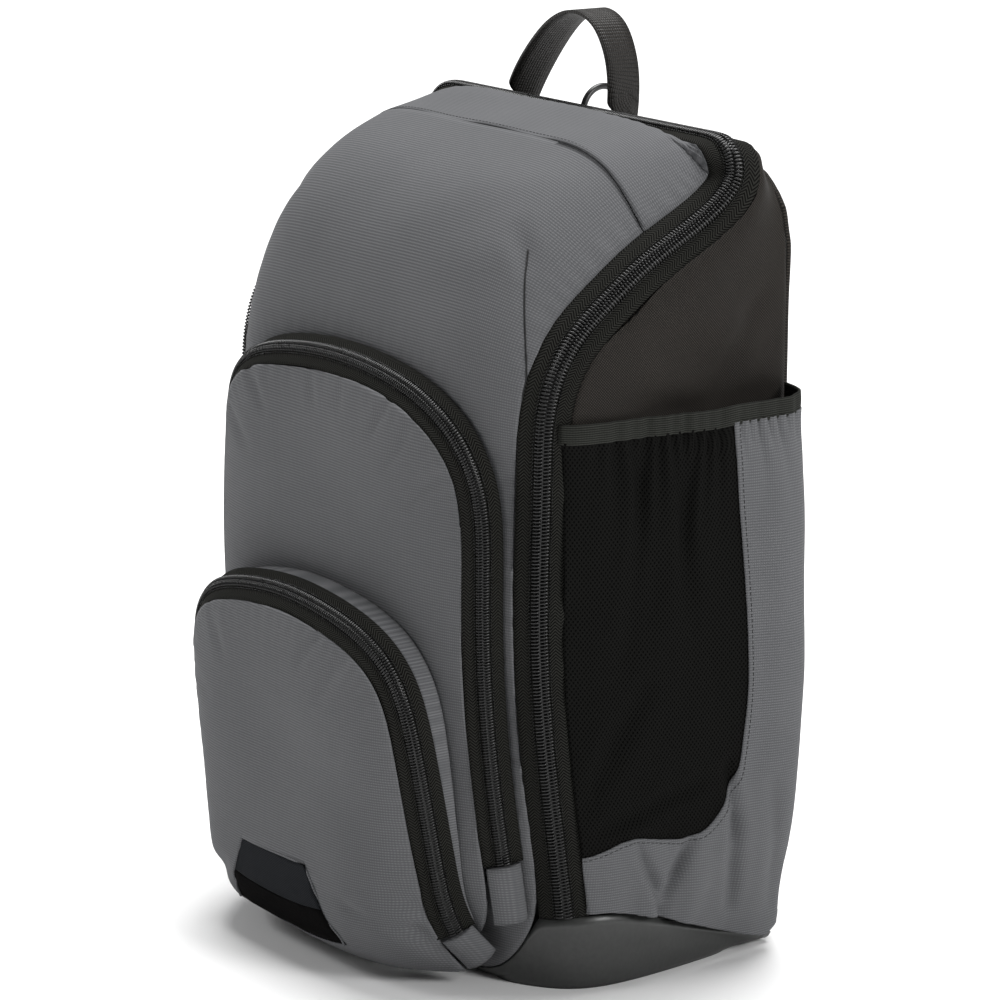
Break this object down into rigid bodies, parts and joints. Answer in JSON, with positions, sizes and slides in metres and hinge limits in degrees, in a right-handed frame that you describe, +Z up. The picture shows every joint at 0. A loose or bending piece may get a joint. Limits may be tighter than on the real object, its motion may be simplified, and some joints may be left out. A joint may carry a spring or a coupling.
{
  "type": "baseball bat backpack",
  "caption": "Upright sports backpack with a clamshell zip, stacked front pockets, open side bat pockets, a haul loop, a fence hook and padded shoulder straps.",
  "frame": {"origin": "middle of the bag's base on the floor, halfway between the back's inner face and the main zip's foremost line", "axes": "+Z up, -Y towards the front pockets, +Y towards the shoulder straps, +X to the side shown in the picture"},
  "size_m": [0.368, 0.3093, 0.5391],
  "materials": {
    "gray_cloth": "matt woven polyester",
    "lid_cloth": "matt woven polyester, lighter",
    "black_twill": "matt twill",
    "coated_black": "satin coated cloth",
    "mesh": "open knitted mesh",
    "zip_tape": "matt woven tape",
    "coil": "satin",
    "webbing": "coarse woven webbing",
    "hook_rubber": "satin",
    "buckle": "matt",
    "slider_metal": "black satin"
  },
  "bodies": {
    "root": {"front_panel": "gray_cloth", "top_panel": "lid_cloth", "middle_pocket": "gray_cloth", "middle_tab_right": "gray_cloth", "middle_tab_left": "gray_cloth", "lower_pocket": "gray_cloth", "lower_pocket_gusset": "gray_cloth", "lower_tab_right": "gray_cloth", "lower_tab_left": "gray_cloth", "bat_sleeve_right": "gray_cloth", "bat_sleeve_left": "gray_cloth", "side_panel_right": "black_twill", "side_panel_left": "black_twill", "top_gusset": "black_twill", "back_panel": "black_twill", "window_panel": "black_twill", "shoulder_strap_right": "black_twill", "shoulder_strap_left": "black_twill", "strap_anchor_right": "black_twill", "strap_anchor_left": "black_twill", "boot": "coated_black", "mesh_panel_right": "mesh", "mesh_panel_left": "mesh", "loop_strip": "mesh", "main_zip_tape": "zip_tape", "middle_zip_tape": "zip_tape", "lower_zip_tape": "zip_tape", "elastic_band_right": "zip_tape", "elastic_band_left": "zip_tape", "main_zip_coil": "coil", "middle_zip_coil": "coil", "lower_zip_coil": "coil", "haul_handle": "webbing", "hook_tab": "webbing", "strap_webbing_right": "webbing", "strap_webbing_left": "webbing", "fence_hook": "hook_rubber", "ladder_lock_right": "buckle", "ladder_lock_left": "buckle", "main_slider": "slider_metal", "middle_slider": "slider_metal", "lower_slider": "slider_metal"}
  },
  "joints": []
}
